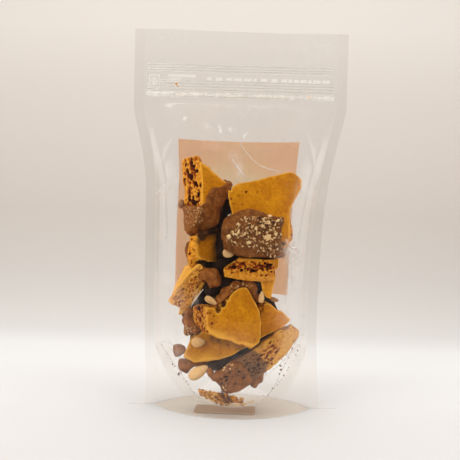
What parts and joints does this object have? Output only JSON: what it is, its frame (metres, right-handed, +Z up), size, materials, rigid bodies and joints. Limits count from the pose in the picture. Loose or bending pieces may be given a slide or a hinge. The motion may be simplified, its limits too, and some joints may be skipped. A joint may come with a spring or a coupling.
{
  "type": "clear stand-up pouch of dalgona candy",
  "caption": "Clear stand-up zip pouch filled with broken dalgona honeycomb toffee, partly dipped in chocolate and nuts, with a paper label on its back.",
  "frame": {"origin": "middle of the pouch's footprint, on the surface that it stands on", "axes": "+Z up along the pouch's height, -Y towards the front, +X to the right along its width as the front is seen"},
  "size_m": [0.12, 0.0594, 0.211],
  "materials": {
    "clear_film": "gloss",
    "label_paper": "satin",
    "date_paper": "satin"
  },
  "bodies": {
    "root": {"pouch": "clear_film", "back_label": "label_paper", "date_label": "date_paper"}
  },
  "joints": []
}
